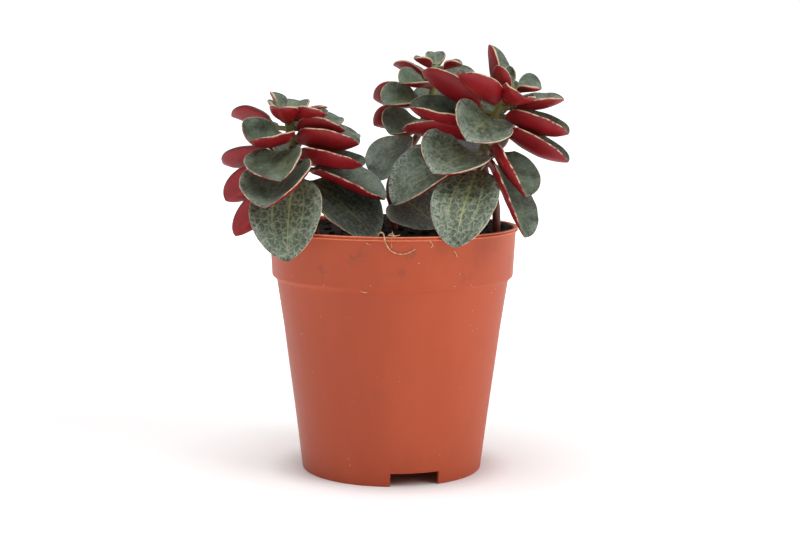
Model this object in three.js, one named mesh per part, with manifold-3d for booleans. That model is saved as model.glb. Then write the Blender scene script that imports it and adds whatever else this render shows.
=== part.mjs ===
// Potted red log peperomia: a thin plastic nursery pot, its soil, three stems and their folded leaves.
// Millimetres, +Z up. The origin is the middle of the pot's foot ring, on the surface it stands on.
// The front of the plant looks along -Y.

import * as THREE from 'three';
import { mergeVertices } from 'three/addons/utils/BufferGeometryUtils.js';
import Module from 'manifold-3d';

const wasm = await Module();
wasm.setup();

// Pot
const RIM_RADIUS = 42.5;
const POT_HEIGHT = 83.4;
const COLLAR_HEIGHT = 16.8;
const COLLAR_DRAFT = 1;
const FOOT_RADIUS = 30.7;
const FOOT_CHAMFER = 0.6;
const WALL = 1.2;
const LIP_HEIGHT = 1.3;
const LIP_WIDTH = 0.5;
const LIP_CHAMFER = 0.4;
const LIP_SLOPE = 0.3;
// How far the step under the collar slopes on its outside, and on its inside below and above it.
const STEP_SLOPE = 1.4;
const INSIDE_STEP_BELOW = 1.8;
const INSIDE_STEP_ABOVE = 0.6;
const INSIDE_STEP_THINNER = 0.2;
const FOOT_RING_WIDTH = 2;
const FLOOR_HEIGHT = 5;
const FLOOR_THICKNESS = 1.3;
const NOTCH_WIDTH = 16.5;
const NOTCH_HEIGHT = 4.5;
const NOTCH_HEADINGS = [-75, 45, 165];
const DRAIN_RADIUS = 3;
const DRAIN_RING_RADIUS = 19;
const DRAIN_COUNT = 6;
const DRAIN_SIDES = 16;
const POT_SEGMENTS = 48;

// Soil
const SOIL_HEIGHT = 79;
const SOIL_DISH = 1.5;
// The dish: as shares of the rim's radius and of the dish's own depth, from the wall inwards.
const DISH_SLOPE_RADIUS = 0.75;
const DISH_SLOPE_DEPTH = 0.6;
const DISH_FLAT_RADIUS = 0.5;
// The soil keeps clear of the pot's inside step.
const SOIL_STEP_BELOW = 2;
const SOIL_STEP_ABOVE = 1.5;
const SOIL_STEP_INSET = 0.5;
const SOIL_SEGMENTS = 36;

// Stems and leaves
const STEM_RADIUS = 1.4;
const STEM_SIDES = 8;
const STEM_STEPS = 14;
const STEM_SAMPLES = 200;
const STEM_TIP_SWELL = 1.15;
const STEM_TIP_RINGS = 6;
const GAP = 0.3;
const FOOT_GAP = 0.7;
const PETIOLE_RADIUS = 0.9;
const PETIOLE_THICKNESS = 1.7;
const BLADE_THICKNESS = 1;
const TIP_THICKNESS = 0.5;
// The share of a blade's length over which it thins from its petiole, and again towards its tip.
const THINNING = 0.2;
// A petiole points partly along its leaf, and for the rest straight out from the stem.
const PETIOLE_ALONG = 0.55;
// Shares of a row's fold angle: on the petiole, beside the midrib, what the margin adds to that,
// and what the tip loses.
const PETIOLE_FOLD = 0.3;
const RIB_FOLD = 0.5;
const MARGIN_FOLD = 0.6;
const TIP_FOLD_LOSS = 0.25;
const OUTLINE_FULLNESS = 0.58;
const LEAF_SIDES = 8;
// How far along the blade each ring of corners lies. The petiole has a ring at each of its ends.
const BLADE_STATIONS = [0.09, 0.25, 0.45, 0.67, 0.86, 0.96];
// Corners closer than this are one.
const WELD = 1e-4;

// Each stem's middle line, from inside the soil up to its growing tip.
const STEM_LINES = {
  left: [[-25, -8, 66], [-28, -9.5, 80], [-32, -11.5, 98], [-33.5, -12, 109], [-34.5, -12, 121]],
  right: [
    [35.2, -6, 66], [34.8, -7.2, 82], [34.2, -9, 92], [30.8, -11.5, 101], [30, -12, 108],
    [32.5, -12, 118], [39, -12, 131],
  ],
  back: [
    [0.3, 24, 66], [0.2, 23.5, 84], [-1.3, 23, 95], [3, 22, 105], [9, 22, 114],
    [13, 22, 126], [15, 22, 137],
  ],
};

// One row for each leaf, roughly from the top of its stem down:
// height on the stem, heading (0 is +X, 90 is +Y), rise, roll, blade length, width, fold of each half,
// arch of the midrib, petiole length. Angles are in degrees. A row can end with the leaf's own
// widest place along the blade and its lean, the share by which one half is broader than the other.
const LEAVES = {
  left: [
    [120.2, 143, 60, 12, 7.5, 9, 28, 0.5, 2.6],
    [119.3, 76, 34, 0, 10, 11.5, 30, 0, 1],
    [119.3, 324, 8, -7, 13, 12.5, 42, -1, 0.5],
    [118.1, 261, 24, -3, 11, 11.5, 40, -1, 2],
    [116.2, 344, -2, -6, 16.8, 16, 38, -1, 0.3],
    [116, 143, 9, 30, 20.5, 12, 38, 0, 4],
    [115.9, 52, 10, 18, 21, 15.5, 22, -1, 2],
    [113.7, 231, -4, -15, 17, 23, 42, -2.5, 0.5],
    [112.5, 340, -3, -4, 21.8, 22, 40, -2.5, 0.3],
    [111.5, 40, 6, 25, 24, 17, 22, -1, 2],
    [109.8, 267, -21, 16, 23.5, 20.5, 28, 0, 4, { lean: 0.3 }],
    [107.7, 150, -10, 20, 22.5, 16, 36, -2, 4],
    [106.9, 332, -5, -4, 23.3, 22, 33, -2, 1.5],
    [103.4, 350, -21, 11, 26.5, 22, 30, -0.5, 4],
    [106.5, 117, 14, 0, 17, 19, 30, 0, 2.5],
    [104, 256, -25, 6, 26, 27, 30, 0, 4, { lean: -0.1 }],
    [104.5, 160, -32, 45, 22.5, 14.5, 26, -1, 4],
    [105, 54, -10, 0, 17, 20, 16, 0, 2],
    [99.4, 340, -38, 24, 29.5, 26.5, 16, 2, 3],
    [98.3, 155, -44, 41, 25, 12, 27, 0, 4],
    [100.4, 269, -43, 5, 34.8, 24, 12, 3, 3, { widest: 0.47, lean: 0.08 }],
  ],
  right: [
    [127.1, 250, 57, -17, 11, 8, 40, -1, 1.5],
    [128.8, 345, 6, 24, 8.5, 13, 40, 0, 0.5],
    [127, 147, 79, 16, 16, 17, 36, -0.5, 2],
    [124.8, 294, 10, -22, 11.5, 14.5, 43, -1, 2],
    [123.3, 360, 9, 10, 17.5, 14.5, 37, -1.5, 2],
    [124.3, 231, 27, -11, 21, 17, 45, -1.5, 2],
    [120, 80, 38, 0, 18, 18, 36, -1, 2.5],
    [120.7, 339, -14, -1, 22, 21, 41, -2.5, 1.5],
    [121.4, 178, 33, 14, 23.5, 18.5, 39, -2, 3],
    [120, 245, -18, -34, 20.5, 21.5, 22, 1.5, 2],
    [117.5, 188, 14, -19, 22, 21.5, 41, -2.5, 4],
    [116, 337, -23, -5, 23, 19.5, 40, -2, 4],
    [114.5, 105, 36, 0, 19, 20, 32, 0, 3],
    [113, 181, 7, 0, 22, 20, 38, -1, 4],
    [110, 75, 28, 0, 20, 20, 28, 0, 3],
    [110.8, 297, -34, -24, 24.5, 20.5, 44, -1, 4],
    [108.8, 229, -15, -25, 21, 26.5, 27, 1, 4],
    [105, 95, 18, 0, 23, 23, 24, 0, 3],
    [107.4, 191, -31, -24, 28.5, 27.5, 24, 2, 4],
    [106.7, 293, -41, -34, 34.5, 20.5, 28, 0.5, 2],
    [104.9, 251.5, -42, -4, 33.7, 22, 12, 3, 5.5],
  ],
  back: [
    [132.3, 165, 22, 6, 13, 13, 33, 0, 1],
    [130, 227, 4, -23, 14.5, 15, 35, 0, 0.5],
    [131, 15, 20, 25, 12, 12, 36, -1, 1.5],
    [124.5, 155, 3, 36, 18, 17, 30, -1, 2],
    [125.5, 224, -5, -24, 18.5, 17.5, 30, 0, 2],
    [121.5, 80, 30, 0, 15, 15, 32, -1, 2],
    [118, 45, 15, 0, 18, 18, 30, 0, 3],
    [117.8, 159, -6, 32, 14, 15.5, 31, 0, 3],
    [118, 235, -13, -20, 18.5, 19, 30, 0, 0.5],
    [115.8, 225, -51, -1, 19.5, 21, 18, 1, 6],
    [109, 80, -12, 0, 15, 20, 24, 0, 2],
    [91.5, 311, -24, 29, 21.5, 25.5, 20, 1, 4],
  ],
};

// The tiny leaves at each growing tip, with the same columns. They are one piece with their stem.
const BUD_LEAVES = {
  left: [
    [119.8, 205, 48, -30, 7, 4.5, 30, 0, 1],
    [121, 5, 12, 0, 10, 5, 30, 0, 1],
  ],
  right: [
    [130.5, 100, 80, 0, 6.5, 5, 40, -1, 0.5],
  ],
  back: [
    [136.5, 205, 26, -6, 7, 9, 32, 0, 0.5],
    [136.5, 345, 10, 4, 6.8, 9, 32, 0, 0.5],
    [137, 95, 40, 0, 7.5, 8, 30, 0, 1],
  ],
};

const radians = THREE.MathUtils.degToRad;

// Solids and meshes

function toSolid(geometry) {
  const bare = geometry.clone();
  bare.deleteAttribute('normal');
  bare.deleteAttribute('uv');
  const merged = mergeVertices(bare, WELD);
  return new wasm.Manifold(new wasm.Mesh({
    numProp: 3,
    vertProperties: merged.attributes.position.array,
    triVerts: new Uint32Array(merged.index.array),
  }));
}

function toGeometry(solid) {
  const mesh = solid.getMesh();
  const geometry = new THREE.BufferGeometry();
  geometry.setAttribute('position', new THREE.BufferAttribute(mesh.vertProperties, 3));
  geometry.setIndex(new THREE.BufferAttribute(mesh.triVerts, 1));
  geometry.computeVertexNormals();
  return geometry;
}

function addMesh(name, geometry, material) {
  const mesh = new THREE.Mesh(geometry, material);
  mesh.name = name;
  group.add(mesh);
}

function revolve(corners, segments) {
  const points = corners.map(([r, z]) => new THREE.Vector2(r, z));
  return new THREE.LatheGeometry(points, segments).rotateX(Math.PI / 2);
}

// The radius of the body and collar's outside at a height, below the lip.
function outerRadius(z) {
  const step = POT_HEIGHT - COLLAR_HEIGHT;
  const collarRadius = RIM_RADIUS - LIP_WIDTH - COLLAR_DRAFT;
  if (z >= step) {
    return THREE.MathUtils.mapLinear(z, step, POT_HEIGHT, collarRadius, RIM_RADIUS - LIP_WIDTH);
  }
  return THREE.MathUtils.mapLinear(z, 0, step, FOOT_RADIUS, collarRadius - WALL);
}

// The pot's section: up its outside, over the rolled lip, down the inside and across the floor.
function potProfile() {
  const step = POT_HEIGHT - COLLAR_HEIGHT;
  const lipFoot = POT_HEIGHT - LIP_HEIGHT;
  const floorTop = FLOOR_HEIGHT + FLOOR_THICKNESS;
  const ringInside = FOOT_RADIUS - FOOT_RING_WIDTH;
  return [
    [0, FLOOR_HEIGHT],
    [ringInside, FLOOR_HEIGHT],
    [ringInside, 0],
    [FOOT_RADIUS - FOOT_CHAMFER, 0],
    [FOOT_RADIUS, FOOT_CHAMFER],
    [outerRadius(step) - WALL, step - STEP_SLOPE],
    [outerRadius(step), step],
    [outerRadius(lipFoot), lipFoot],
    [RIM_RADIUS, lipFoot + LIP_SLOPE],
    [RIM_RADIUS, POT_HEIGHT - LIP_CHAMFER],
    [RIM_RADIUS - LIP_CHAMFER, POT_HEIGHT],
    [RIM_RADIUS - WALL, POT_HEIGHT],
    [outerRadius(lipFoot) - WALL, lipFoot],
    [outerRadius(step) - WALL, step + INSIDE_STEP_ABOVE],
    [outerRadius(step) - 2 * WALL - INSIDE_STEP_THINNER, step - INSIDE_STEP_BELOW],
    [outerRadius(floorTop) - WALL, floorTop],
    [0, floorTop],
  ];
}

function notchCutter(heading) {
  const depth = 4 * FOOT_RING_WIDTH;
  const box = new THREE.BoxGeometry(depth, NOTCH_WIDTH, 2 * NOTCH_HEIGHT);
  box.translate(FOOT_RADIUS, 0, 0);
  box.rotateZ(radians(heading));
  return toSolid(box);
}

function drainCutter(index) {
  const hole = new THREE.CylinderGeometry(DRAIN_RADIUS, DRAIN_RADIUS, 4 * FLOOR_THICKNESS, DRAIN_SIDES);
  hole.rotateX(Math.PI / 2);
  hole.translate(DRAIN_RING_RADIUS, 0, FLOOR_HEIGHT);
  hole.rotateZ((index * 2 * Math.PI) / DRAIN_COUNT);
  return toSolid(hole);
}

function buildPot(material) {
  let pot = toSolid(revolve(potProfile(), POT_SEGMENTS));
  for (const heading of NOTCH_HEADINGS) {
    pot = pot.subtract(notchCutter(heading));
  }
  for (let i = 0; i < DRAIN_COUNT; i += 1) {
    pot = pot.subtract(drainCutter(i));
  }
  addMesh('pot', toGeometry(pot), material);
}

// The soil fills the pot, lower in the middle than at the wall, with room for each stem's buried foot.
function buildSoil(material) {
  const step = POT_HEIGHT - COLLAR_HEIGHT;
  const bottom = FLOOR_HEIGHT + FLOOR_THICKNESS + GAP;
  const wallGap = WALL + 2 * GAP;
  const profile = [
    [0, bottom],
    [outerRadius(bottom) - wallGap, bottom],
    [outerRadius(step) - WALL - wallGap - SOIL_STEP_INSET, step - SOIL_STEP_BELOW],
    [outerRadius(step) - wallGap, step + SOIL_STEP_ABOVE],
    [outerRadius(SOIL_HEIGHT) - wallGap, SOIL_HEIGHT],
    [DISH_SLOPE_RADIUS * RIM_RADIUS, SOIL_HEIGHT - DISH_SLOPE_DEPTH * SOIL_DISH],
    [DISH_FLAT_RADIUS * RIM_RADIUS, SOIL_HEIGHT - SOIL_DISH],
    [0, SOIL_HEIGHT - SOIL_DISH],
  ];
  let soil = toSolid(revolve(profile, SOIL_SEGMENTS));
  for (const curve of Object.values(stemCurves)) {
    soil = soil.subtract(toSolid(stemTube(curve, STEM_RADIUS + GAP)));
  }
  addMesh('soil', toGeometry(soil), material);
}

// Stems

function stemCurve(points) {
  const corners = points.map(([x, y, z]) => new THREE.Vector3(x, y, z));
  return new THREE.CatmullRomCurve3(corners, false, 'catmullrom', 0.5);
}

function stemTube(curve, radius) {
  const section = new THREE.Shape();
  section.absarc(0, 0, radius, 0, 2 * Math.PI);
  return new THREE.ExtrudeGeometry(section, {
    steps: STEM_STEPS,
    curveSegments: STEM_SIDES,
    extrudePath: curve,
    bevelEnabled: false,
  });
}

// The point of a stem's middle line at a height.
function stemPoint(curve, z) {
  const points = curve.getPoints(STEM_SAMPLES);
  const above = Math.max(1, points.findIndex((p) => p.z >= z));
  const low = points[above - 1];
  const high = points[above];
  return low.clone().lerp(high, (z - low.z) / (high.z - low.z));
}

function buildStem(side, material) {
  const curve = stemCurves[side];
  const tip = new THREE.SphereGeometry(STEM_TIP_SWELL * STEM_RADIUS, STEM_SIDES, STEM_TIP_RINGS);
  const top = curve.getPoint(1);
  tip.translate(top.x, top.y, top.z);
  let stem = toSolid(stemTube(curve, STEM_RADIUS)).add(toSolid(tip));
  for (const row of BUD_LEAVES[side]) {
    const foot = stemPoint(curve, row[0]);
    stem = stem.add(toSolid(leafGeometry(row, foot)));
  }
  addMesh(`${side}_stem`, toGeometry(stem), material);
}

// Leaves

// A leaf's own directions: along it, out of its upper face, and across it.
function leafFrame(heading, rise, roll) {
  const h = radians(heading);
  const r = radians(rise);
  const along = new THREE.Vector3(Math.cos(r) * Math.cos(h), Math.cos(r) * Math.sin(h), Math.sin(r));
  const level = new THREE.Vector3(-Math.sin(r) * Math.cos(h), -Math.sin(r) * Math.sin(h), Math.cos(r));
  const up = level.clone().applyAxisAngle(along, radians(roll));
  const across = along.clone().cross(up);
  return { along, up, across };
}

// The share of the full half width at a place along the blade, from 0 at its foot to 1 at its tip.
function outline(t, widest) {
  const a = 2 * OUTLINE_FULLNESS * widest;
  const b = 2 * OUTLINE_FULLNESS * (1 - widest);
  return (t / widest) ** a * ((1 - t) / (1 - widest)) ** b;
}

// The rings of a leaf: two for its petiole, then those of its blade.
function leafSections(row, foot, frame) {
  const [, heading, , , length, width, fold, arch, petiole, own = {}] = row;
  const widest = own.widest ?? 0.5;
  const outward = new THREE.Vector3(Math.cos(radians(heading)), Math.sin(radians(heading)), 0);
  const lead = outward.lerp(frame.along, PETIOLE_ALONG).normalize();
  const start = foot.clone().addScaledVector(lead, petiole);
  const petioleFold = PETIOLE_FOLD * fold;
  const sections = [
    { centre: foot, half: PETIOLE_RADIUS, fold: petioleFold, thickness: PETIOLE_THICKNESS },
    { centre: start, half: PETIOLE_RADIUS, fold: petioleFold, thickness: PETIOLE_THICKNESS },
  ];
  for (const t of BLADE_STATIONS) {
    const centre = start.clone()
      .addScaledVector(frame.along, length * t)
      .addScaledVector(frame.up, arch * 4 * t * (1 - t));
    const half = Math.max(PETIOLE_RADIUS, (width / 2) * outline(t, widest));
    const body = THREE.MathUtils.lerp(PETIOLE_THICKNESS, BLADE_THICKNESS, Math.min(1, t / THINNING));
    const edge = THREE.MathUtils.lerp(TIP_THICKNESS, BLADE_THICKNESS, Math.min(1, (1 - t) / THINNING));
    sections.push({ centre, half, fold: fold * (1 - TIP_FOLD_LOSS * t), thickness: Math.min(body, edge) });
  }
  return { sections, end: start.clone().addScaledVector(frame.along, length) };
}

// A point on a ring. The angle runs round the section: 0 and 180 degrees are the leaf's margins.
function sectionPoint(section, frame, angle, lean) {
  const v = Math.cos(angle);
  const side = Math.abs(v) < 1e-6 ? 0 : Math.sign(v);
  const reach = Math.abs(v) * section.half * (1 + lean * side);
  const bend = radians(section.fold) * (RIB_FOLD + MARGIN_FOLD * v * v);
  const normal = frame.up.clone().multiplyScalar(Math.cos(bend))
    .addScaledVector(frame.across, -side * Math.sin(bend));
  return section.centre.clone()
    .addScaledVector(frame.across, side * reach * Math.cos(bend))
    .addScaledVector(frame.up, reach * Math.sin(bend))
    .addScaledVector(normal, (section.thickness / 2) * Math.sin(angle));
}

// A sphere drawn out into a leaf: its poles are the leaf's two ends, and its rings the sections.
function leafGeometry(row, foot) {
  const [, heading, rise, roll] = row;
  const lean = row[9]?.lean ?? 0;
  const frame = leafFrame(heading, rise, roll);
  const { sections, end } = leafSections(row, foot, frame);
  const geometry = new THREE.SphereGeometry(1, LEAF_SIDES, sections.length + 1);
  const position = geometry.attributes.position;
  for (let ring = 0; ring <= sections.length + 1; ring += 1) {
    for (let corner = 0; corner <= LEAF_SIDES; corner += 1) {
      const angle = (2 * Math.PI * corner) / LEAF_SIDES;
      let point = foot;
      if (ring === sections.length + 1) {
        point = end;
      } else if (ring > 0) {
        point = sectionPoint(sections[ring - 1], frame, angle, lean);
      }
      position.setXYZ(ring * (LEAF_SIDES + 1) + corner, point.x, point.y, point.z);
    }
  }
  geometry.deleteAttribute('normal');
  geometry.deleteAttribute('uv');
  const closed = mergeVertices(geometry, WELD);
  closed.computeVertexNormals();
  return closed;
}

function buildLeaves(side, material) {
  LEAVES[side].forEach((row, index) => {
    const heading = radians(row[1]);
    const outward = new THREE.Vector3(Math.cos(heading), Math.sin(heading), 0);
    const foot = stemPoint(stemCurves[side], row[0]).addScaledVector(outward, STEM_RADIUS + FOOT_GAP);
    const name = `${side}_leaf_${String(index + 1).padStart(2, '0')}`;
    addMesh(name, leafGeometry(row, foot), material);
  });
}

const group = new THREE.Group();
const terracotta = new THREE.MeshStandardMaterial({ color: 0xb9603f, roughness: 0.5, metalness: 0 });
const peat = new THREE.MeshStandardMaterial({ color: 0x241a14, roughness: 1, metalness: 0 });
const stemSkin = new THREE.MeshStandardMaterial({ color: 0x6f4a35, roughness: 0.6, metalness: 0 });
const leafSkin = new THREE.MeshStandardMaterial({ color: 0x4d5f52, roughness: 0.45, metalness: 0 });
const stemCurves = {};
for (const [side, points] of Object.entries(STEM_LINES)) {
  stemCurves[side] = stemCurve(points);
}

buildPot(terracotta);
buildSoil(peat);
for (const side of Object.keys(STEM_LINES)) {
  buildStem(side, stemSkin);
  buildLeaves(side, leafSkin);
}

export default group;
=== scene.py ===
import math
import random

import bmesh
import bpy
import numpy as np
from mathutils import Matrix, Vector, noise


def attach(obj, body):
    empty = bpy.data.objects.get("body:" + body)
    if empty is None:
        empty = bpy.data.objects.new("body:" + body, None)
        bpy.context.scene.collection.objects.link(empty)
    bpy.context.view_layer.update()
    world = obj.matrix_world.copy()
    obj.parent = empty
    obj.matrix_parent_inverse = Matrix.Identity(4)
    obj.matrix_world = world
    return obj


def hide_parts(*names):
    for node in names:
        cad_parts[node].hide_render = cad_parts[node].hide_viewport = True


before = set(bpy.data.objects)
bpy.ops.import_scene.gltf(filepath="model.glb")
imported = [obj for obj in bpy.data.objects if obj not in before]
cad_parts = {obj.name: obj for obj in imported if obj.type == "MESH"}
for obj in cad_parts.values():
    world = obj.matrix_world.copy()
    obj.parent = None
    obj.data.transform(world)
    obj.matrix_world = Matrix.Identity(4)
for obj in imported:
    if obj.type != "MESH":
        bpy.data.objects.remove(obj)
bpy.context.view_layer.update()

# Lengths are in millimetres here, as in the CAD. MM turns them into metres, and PER_METRE back.
MM = 0.001
PER_METRE = 1000

# The camera, fitted to the photograph. Its angles are in degrees.
IMAGE_WIDTH = 800
FOCAL_PIXELS = 1551
SENSOR_WIDTH = 36
CAMERA_PLACE = (2.52, -526, 133)
CAMERA_PITCH = 6.934
CAMERA_ROLL = 0.384
NEAREST_SEEN = 10

# Pot
POT_SEGMENTS = 192
FOOT_RADIUS = 30.7
FOOT_CHAMFER = 0.6
STEP_HEIGHT = 66.6
STEP_SLOPE = 1.4
COLLAR_DRAFT = 1
LIP_FOOT = 82.1
LIP_WIDTH = 0.5
UNDER_LIP = 0.1
POT_HEIGHT = 83.4
RIM_RADIUS = 42.5
WALL = 1.2
FLOOR_HEIGHT = 5
FLOOR_THICKNESS = 1.3
FOOT_RING_WIDTH = 2
CORNER_ROUNDING = 0.4
EDGE_BEVEL = 0.2
BEVEL_ANGLE = 50
SHARP_ANGLE = 40
# The step on the inside of the wall, below and above the outer one's edge
INSIDE_STEP_BELOW = 1.8
INSIDE_STEP_ABOVE = 0.6
INSIDE_STEP_THINNER = 0.2
# How far the body's outside lies within a straight line, at shares of its height
BODY_HOLLOW = {0.25: 0.15, 0.5: 0.25, 0.75: 0.35}
# The groove round the lip: heights above the lip's foot, and depths
LIP_GROOVE = ((0.45, 0), (0.7, 0.28), (0.9, 0))
NOTCH_WIDTH = 16.5
NOTCH_HEIGHT = 4.5
NOTCH_DEPTH = 8
NOTCH_HEADINGS = (-75, 45, 165)
DRAIN_RADIUS = 3
DRAIN_DEPTH = 6
DRAIN_SIDES = 32
DRAIN_RING_RADIUS = 19
DRAIN_COUNT = 6
# A section that meets the axis starts this close to it.
AXIS_GAP = 0.01

# Soil
SOIL_HEIGHT = 79
SOIL_DISH = 1.5
SOIL_SEGMENTS = 160
SOIL_RINGS = 46
SOIL_GAP = 0.1
DISH_REACH = 0.9 * RIM_RADIUS
# The soil's own step, which stays clear of the pot's
SOIL_STEP_ABOVE = 2
SOIL_STEP_BELOW = 2.4
SOIL_STEP_GAP = 0.5
# The heap at the back, which rises from one place to the next towards +Y and a little towards +X
HEAP_HEIGHT = 4.3
HEAP_TURN = 0.6
HEAP_START = 6
HEAP_END = 28
HEAP_INNER_RADIUS = 16
HEAP_OUTER_RADIUS = 30
LUMP_HEIGHT = 0.75
LUMP_PACE = 0.22
CRUMB_COUNT = 420
CRUMB_SEED = 11
CRUMB_SIZES = (0.35, 0.45, 0.6, 0.8, 1.1)
CRUMB_LIFT = 0.2
CRUMB_BUMPS = 0.45
CRUMB_WALL_GAP = 1.6

# Stems
STEM_RADIUS = 1.4
STEM_RINGS = 90
STEM_CORNERS = 20
STEM_SAMPLES = 201
STEM_TAPER = 0.1
# The swelling of a stem where a leaf leaves it: a share of its radius, and its length
KNOT_SWELLING = 0.22
KNOT_LENGTH = 1.1

# Leaves
FOOT_GAP = 0.7
PETIOLE_RADIUS = 0.85
PETIOLE_THICKNESS = 1.7
PETIOLE_FLARE = 0.35
PETIOLE_RINGS = 7
BLADE_THICKNESS = 1.05
BLADE_RINGS = 38
MARGIN_THICKNESS = 0.14
OUTLINE_FULLNESS = 0.58
OUTLINE_SAMPLES = 160
NERVE_PLACE = 0.42
LEAF_CORNERS = 72
# A petiole points partly along its leaf, and for the rest straight out from the stem.
PETIOLE_ALONG = 0.55
# The blade's rings follow a half circle, so that they lie closer together at its ends: the angles
# of the first and the last.
FIRST_RING = 0.16
LAST_RING = 0.985 * math.pi
# Shares of a row's fold angle: on the petiole, beside the midrib, what the margin adds to that, and
# what the tip loses. The blade reaches its own fold at FOLD_START, a share of its length.
PETIOLE_FOLD = 0.3
RIB_FOLD = 0.5
MARGIN_FOLD = 0.6
TIP_FOLD_LOSS = 0.25
FOLD_START = 0.12
CREASE_WIDTH = 0.045
# The blade's gentle unevenness, and that of its margin: heights and wavelengths
SWELL = 0.16
SWELL_LENGTH = 9
EDGE_WAVE = 0.12
EDGE_WAVE_LENGTH = 6
# Each leaf has its own part of the patterns, this far from the next leaf's.
PATTERN_STEP = (40, 0, 7.3)
# The distance to the margin that the petiole's skin counts as
PETIOLE_EDGE = 3
# The looks of a leaf whose row doesn't say otherwise
USUAL_LOOKS = {"young": 0.15, "painted_shade": 0, "silver": 0.3, "veins": 0.1, "rim": 0.8}

# Each stem's middle line, from inside the soil up to its growing tip, repeated from the CAD.
STEM_LINES = {
    "left": [(-25, -8, 66), (-28, -9.5, 80), (-32, -11.5, 98), (-33.5, -12, 109), (-34.5, -12, 121)],
    "right": [(35.2, -6, 66), (34.8, -7.2, 82), (34.2, -9, 92), (30.8, -11.5, 101), (30, -12, 108),
              (32.5, -12, 118), (39, -12, 131)],
    "back": [(0.3, 24, 66), (0.2, 23.5, 84), (-1.3, 23, 95), (3, 22, 105), (9, 22, 114), (13, 22, 126),
             (15, 22, 137)],
}
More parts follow.
